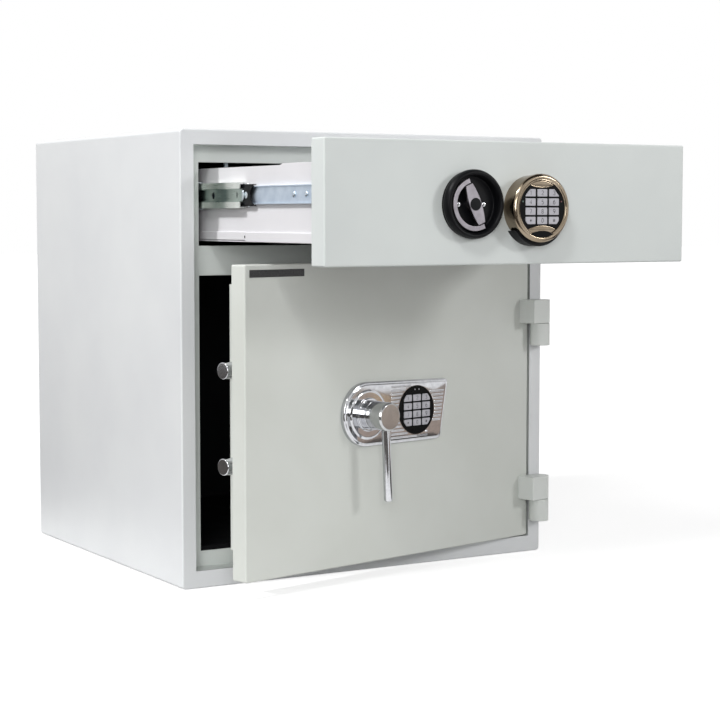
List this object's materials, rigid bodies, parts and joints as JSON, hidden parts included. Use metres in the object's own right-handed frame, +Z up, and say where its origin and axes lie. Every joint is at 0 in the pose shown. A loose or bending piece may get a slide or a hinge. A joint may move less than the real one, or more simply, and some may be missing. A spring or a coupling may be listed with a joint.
{
  "type": "furniture safe",
  "caption": "Free-standing fire resistant furniture safe with a locking cash drawer on slides above a hinged, bolted door, each with its own handle and electronic keypad.",
  "frame": {"origin": "centre of the cabinet's underside, where the floor anchor's hole opens", "axes": "+X to the right as seen from the front, +Y to the back, +Z up"},
  "size_m": [0.578, 0.8642, 0.6],
  "materials": {
    "cabinet_paint": "satin powder coat",
    "front_paint": "satin powder coat",
    "door_paint": "satin powder coat",
    "drawer_paint": "smooth powder coat",
    "hinge_paint": "satin powder coat",
    "liner_paint": "matte black coat",
    "fire_filling": "rough",
    "zinc_plate": "bright zinc plate",
    "steel": "ground",
    "satin_nickel": "satin",
    "chrome": "satin chrome",
    "champagne_metal": "satin lacquer",
    "lock_zinc": "yellow passivated",
    "brass": "machined",
    "black_plastic": "matte",
    "key_plastic": "matte"
  },
  "bodies": {
    "cabinet": {"outer_casing": "cabinet_paint", "back_panel": "cabinet_paint", "fire_filling": "fire_filling", "front_frame": "front_paint", "safe_liner": "liner_paint", "drawer_liner": "liner_paint", "hinge_barrels": "hinge_paint", "hinge_pins": "steel", "slide_outer_members": "zinc_plate", "drawer_keeper": "zinc_plate"},
    "slide_middles": {"slide_middle_members": "zinc_plate"},
    "slide_cages": {"slide_ball_cages": "black_plastic"},
    "drawer": {"drawer_front": "front_paint", "drawer_box": "drawer_paint", "slide_inner_members": "zinc_plate", "drawer_lock_case": "zinc_plate", "handle_cup": "black_plastic", "keypad_housing": "champagne_metal", "drawer_keypad_face": "black_plastic"},
    "battery_tray": {"battery_tray": "black_plastic"},
    "bow_bar": {"bow_bar": "satin_nickel"},
    "bow_grip": {"bow_grip": "satin_nickel"},
    "drawer_bolt": {"drawer_bolt": "zinc_plate"},
    "door": {"door_shell": "door_paint", "door_filling": "fire_filling", "door_inner_box": "door_paint", "door_hinge_blocks": "hinge_paint", "escutcheon": "chrome", "door_keypad_face": "black_plastic", "door_lock_case": "lock_zinc"},
    "handle": {"handle_hub": "chrome", "lever": "chrome", "spindle": "steel"},
    "bolt_work": {"bolt_bar": "zinc_plate", "locking_bolts": "chrome"},
    "lock_bolt": {"door_lock_bolt": "brass"},
    "drawer_key_1": {"drawer_key_1": "key_plastic"},
    "door_key_1": {"door_key_1": "key_plastic"},
    "drawer_key_2": {"drawer_key_2": "key_plastic"},
    "door_key_2": {"door_key_2": "key_plastic"},
    "drawer_key_3": {"drawer_key_3": "key_plastic"},
    "door_key_3": {"door_key_3": "key_plastic"},
    "drawer_key_4": {"drawer_key_4": "key_plastic"},
    "door_key_4": {"door_key_4": "key_plastic"},
    "drawer_key_5": {"drawer_key_5": "key_plastic"},
    "door_key_5": {"door_key_5": "key_plastic"},
    "drawer_key_6": {"drawer_key_6": "key_plastic"},
    "door_key_6": {"door_key_6": "key_plastic"},
    "drawer_key_7": {"drawer_key_7": "key_plastic"},
    "door_key_7": {"door_key_7": "key_plastic"},
    "drawer_key_8": {"drawer_key_8": "key_plastic"},
    "door_key_8": {"door_key_8": "key_plastic"},
    "drawer_key_9": {"drawer_key_9": "key_plastic"},
    "door_key_9": {"door_key_9": "key_plastic"},
    "drawer_key_star": {"drawer_key_star": "key_plastic"},
    "door_key_star": {"door_key_star": "key_plastic"},
    "drawer_key_0": {"drawer_key_0": "key_plastic"},
    "door_key_0": {"door_key_0": "key_plastic"},
    "drawer_key_hash": {"drawer_key_hash": "key_plastic"},
    "door_key_hash": {"door_key_hash": "key_plastic"}
  },
  "joints": [
    {"name": "drawer_slide", "type": "slide", "parent": "cabinet", "child": "drawer", "axis": [0, -1, 0], "range_m": [-0.334, 0.016]},
    {"name": "slide_middle_travel", "type": "slide", "parent": "cabinet", "child": "slide_middles", "axis": [0, -1, 0], "range_m": [-0.119, 0.0058]},
    {"name": "slide_cage_travel", "type": "slide", "parent": "cabinet", "child": "slide_cages", "axis": [0, -1, 0], "range_m": [-0.2266, 0.011]},
    {"name": "bow_bar_turn", "type": "hinge", "parent": "drawer", "child": "bow_bar", "pos_m": [-0.0655, -0.5865, 0.5018], "axis": [0, 1, 0], "range_deg": [-68, 0]},
    {"name": "bow_grip_fold", "type": "hinge", "parent": "bow_bar", "child": "bow_grip", "pos_m": [-0.0655, -0.5978, 0.5018], "axis": [-0.3746, 0, 0.9272], "range_deg": [0, 90]},
    {"name": "drawer_bolt_lift", "type": "slide", "parent": "drawer", "child": "drawer_bolt", "axis": [0, 0, 1], "range_m": [0, 0.01205]},
    {"name": "battery_tray_pull", "type": "slide", "parent": "drawer", "child": "battery_tray", "axis": [0, 0, -1], "range_m": [0, 0.05]},
    {"name": "door_hinge", "type": "hinge", "parent": "cabinet", "child": "door", "pos_m": [0.276, -0.267, 0], "axis": [0, 0, 1], "range_deg": [-12.5, 162.5]},
    {"name": "lever_turn", "type": "hinge", "parent": "door", "child": "handle", "pos_m": [-0.05517, -0.32557, 0.2255], "axis": [-0.2164, 0.9763, 0], "range_deg": [0, 80]},
    {"name": "bolt_travel", "type": "slide", "parent": "door", "child": "bolt_work", "axis": [0.9763, 0.2164, 0], "range_m": [0, 0.0201]},
    {"name": "lock_bolt_travel", "type": "slide", "parent": "door", "child": "lock_bolt", "axis": [0.9763, 0.2164, 0], "range_m": [0, 0.0201]},
    {"name": "drawer_key_1_press", "type": "slide", "parent": "drawer", "child": "drawer_key_1", "axis": [0, 1, 0], "range_m": [0, 0.001], "stiffness_N_per_m": 250, "springref_m": -0.001},
    {"name": "drawer_key_2_press", "type": "slide", "parent": "drawer", "child": "drawer_key_2", "axis": [0, 1, 0], "range_m": [0, 0.001], "stiffness_N_per_m": 250, "springref_m": -0.001},
    {"name": "drawer_key_3_press", "type": "slide", "parent": "drawer", "child": "drawer_key_3", "axis": [0, 1, 0], "range_m": [0, 0.001], "stiffness_N_per_m": 250, "springref_m": -0.001},
    {"name": "drawer_key_4_press", "type": "slide", "parent": "drawer", "child": "drawer_key_4", "axis": [0, 1, 0], "range_m": [0, 0.001], "stiffness_N_per_m": 250, "springref_m": -0.001},
    {"name": "drawer_key_5_press", "type": "slide", "parent": "drawer", "child": "drawer_key_5", "axis": [0, 1, 0], "range_m": [0, 0.001], "stiffness_N_per_m": 250, "springref_m": -0.001},
    {"name": "drawer_key_6_press", "type": "slide", "parent": "drawer", "child": "drawer_key_6", "axis": [0, 1, 0], "range_m": [0, 0.001], "stiffness_N_per_m": 250, "springref_m": -0.001},
    {"name": "drawer_key_7_press", "type": "slide", "parent": "drawer", "child": "drawer_key_7", "axis": [0, 1, 0], "range_m": [0, 0.001], "stiffness_N_per_m": 250, "springref_m": -0.001},
    {"name": "drawer_key_8_press", "type": "slide", "parent": "drawer", "child": "drawer_key_8", "axis": [0, 1, 0], "range_m": [0, 0.001], "stiffness_N_per_m": 250, "springref_m": -0.001},
    {"name": "drawer_key_9_press", "type": "slide", "parent": "drawer", "child": "drawer_key_9", "axis": [0, 1, 0], "range_m": [0, 0.001], "stiffness_N_per_m": 250, "springref_m": -0.001},
    {"name": "drawer_key_star_press", "type": "slide", "parent": "drawer", "child": "drawer_key_star", "axis": [0, 1, 0], "range_m": [0, 0.001], "stiffness_N_per_m": 250, "springref_m": -0.001},
    {"name": "drawer_key_0_press", "type": "slide", "parent": "drawer", "child": "drawer_key_0", "axis": [0, 1, 0], "range_m": [0, 0.001], "stiffness_N_per_m": 250, "springref_m": -0.001},
    {"name": "drawer_key_hash_press", "type": "slide", "parent": "drawer", "child": "drawer_key_hash", "axis": [0, 1, 0], "range_m": [0, 0.001], "stiffness_N_per_m": 250, "springref_m": -0.001},
    {"name": "door_key_1_press", "type": "slide", "parent": "door", "child": "door_key_1", "axis": [-0.2164, 0.9763, 0], "range_m": [0, 0.001], "stiffness_N_per_m": 250, "springref_m": -0.001},
    {"name": "door_key_2_press", "type": "slide", "parent": "door", "child": "door_key_2", "axis": [-0.2164, 0.9763, 0], "range_m": [0, 0.001], "stiffness_N_per_m": 250, "springref_m": -0.001},
    {"name": "door_key_3_press", "type": "slide", "parent": "door", "child": "door_key_3", "axis": [-0.2164, 0.9763, 0], "range_m": [0, 0.001], "stiffness_N_per_m": 250, "springref_m": -0.001},
    {"name": "door_key_4_press", "type": "slide", "parent": "door", "child": "door_key_4", "axis": [-0.2164, 0.9763, 0], "range_m": [0, 0.001], "stiffness_N_per_m": 250, "springref_m": -0.001},
    {"name": "door_key_5_press", "type": "slide", "parent": "door", "child": "door_key_5", "axis": [-0.2164, 0.9763, 0], "range_m": [0, 0.001], "stiffness_N_per_m": 250, "springref_m": -0.001},
    {"name": "door_key_6_press", "type": "slide", "parent": "door", "child": "door_key_6", "axis": [-0.2164, 0.9763, 0], "range_m": [0, 0.001], "stiffness_N_per_m": 250, "springref_m": -0.001},
    {"name": "door_key_7_press", "type": "slide", "parent": "door", "child": "door_key_7", "axis": [-0.2164, 0.9763, 0], "range_m": [0, 0.001], "stiffness_N_per_m": 250, "springref_m": -0.001},
    {"name": "door_key_8_press", "type": "slide", "parent": "door", "child": "door_key_8", "axis": [-0.2164, 0.9763, 0], "range_m": [0, 0.001], "stiffness_N_per_m": 250, "springref_m": -0.001},
    {"name": "door_key_9_press", "type": "slide", "parent": "door", "child": "door_key_9", "axis": [-0.2164, 0.9763, 0], "range_m": [0, 0.001], "stiffness_N_per_m": 250, "springref_m": -0.001},
    {"name": "door_key_star_press", "type": "slide", "parent": "door", "child": "door_key_star", "axis": [-0.2164, 0.9763, 0], "range_m": [0, 0.001], "stiffness_N_per_m": 250, "springref_m": -0.001},
    {"name": "door_key_0_press", "type": "slide", "parent": "door", "child": "door_key_0", "axis": [-0.2164, 0.9763, 0], "range_m": [0, 0.001], "stiffness_N_per_m": 250, "springref_m": -0.001},
    {"name": "door_key_hash_press", "type": "slide", "parent": "door", "child": "door_key_hash", "axis": [-0.2164, 0.9763, 0], "range_m": [0, 0.001], "stiffness_N_per_m": 250, "springref_m": -0.001}
  ],
  "couplings": [
    {"joint": "slide_middle_travel", "follows": "drawer_slide", "ratio": 0.356},
    {"joint": "slide_cage_travel", "follows": "drawer_slide", "ratio": 0.678},
    {"joint": "drawer_bolt_lift", "follows": "bow_bar_turn", "m_per_rad": -0.010111},
    {"joint": "bolt_travel", "follows": "lever_turn", "m_per_rad": 0.014324},
    {"joint": "lock_bolt_travel", "follows": "lever_turn", "m_per_rad": 0.014324}
  ]
}
